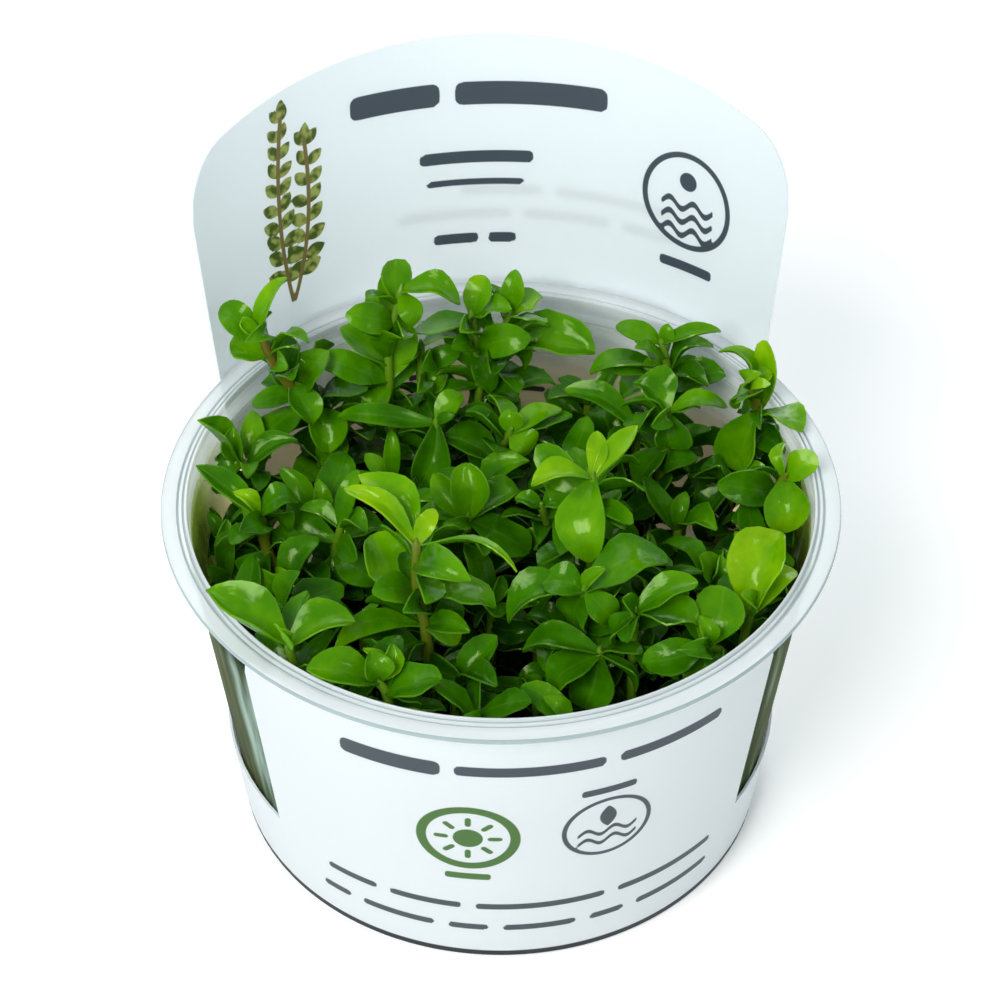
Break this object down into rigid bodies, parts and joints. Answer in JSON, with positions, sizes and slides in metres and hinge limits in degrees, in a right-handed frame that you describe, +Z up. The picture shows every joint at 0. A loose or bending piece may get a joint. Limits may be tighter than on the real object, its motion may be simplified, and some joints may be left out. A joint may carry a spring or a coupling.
{
  "type": "potted lemon bacopa",
  "caption": "Clear cup of young lemon bacopa plants on nutrient gel, in a printed sleeve with a low front panel and a tall rounded back panel.",
  "frame": {"origin": "middle of the cup's flat bottom", "axes": "+Z up along the cup's axis, -Y towards the sleeve's low front panel, +Y towards its tall back panel"},
  "size_m": [0.101, 0.1102, 0.0988],
  "materials": {
    "clear_plastic": "clear, slightly hazy",
    "printed_sheet": "satin white print",
    "gel": "moist and cloudy",
    "leaf": "satin green leaf"
  },
  "bodies": {
    "root": {"cup": "clear_plastic", "sleeve": "printed_sheet", "gel": "gel", "shoot_01": "leaf", "shoot_02": "leaf", "shoot_03": "leaf", "shoot_04": "leaf", "shoot_05": "leaf", "shoot_06": "leaf", "shoot_07": "leaf", "shoot_08": "leaf", "shoot_09": "leaf", "shoot_10": "leaf", "shoot_11": "leaf", "shoot_12": "leaf", "shoot_13": "leaf", "shoot_14": "leaf", "shoot_15": "leaf", "shoot_16": "leaf", "shoot_17": "leaf", "shoot_18": "leaf", "shoot_19": "leaf", "shoot_20": "leaf", "shoot_21": "leaf", "shoot_22": "leaf", "shoot_23": "leaf", "shoot_24": "leaf", "shoot_25": "leaf", "shoot_26": "leaf", "shoot_27": "leaf", "shoot_28": "leaf", "shoot_29": "leaf", "shoot_30": "leaf", "shoot_31": "leaf", "shoot_32": "leaf", "shoot_33": "leaf", "shoot_34": "leaf", "shoot_35": "leaf", "shoot_36": "leaf", "shoot_37": "leaf", "shoot_38": "leaf", "shoot_39": "leaf", "shoot_40": "leaf", "shoot_41": "leaf", "shoot_42": "leaf", "shoot_43": "leaf", "shoot_44": "leaf", "shoot_45": "leaf", "shoot_46": "leaf", "shoot_47": "leaf", "shoot_48": "leaf", "shoot_49": "leaf", "shoot_50": "leaf", "shoot_51": "leaf", "shoot_52": "leaf", "shoot_53": "leaf", "shoot_54": "leaf", "shoot_55": "leaf", "shoot_56": "leaf"}
  },
  "joints": []
}
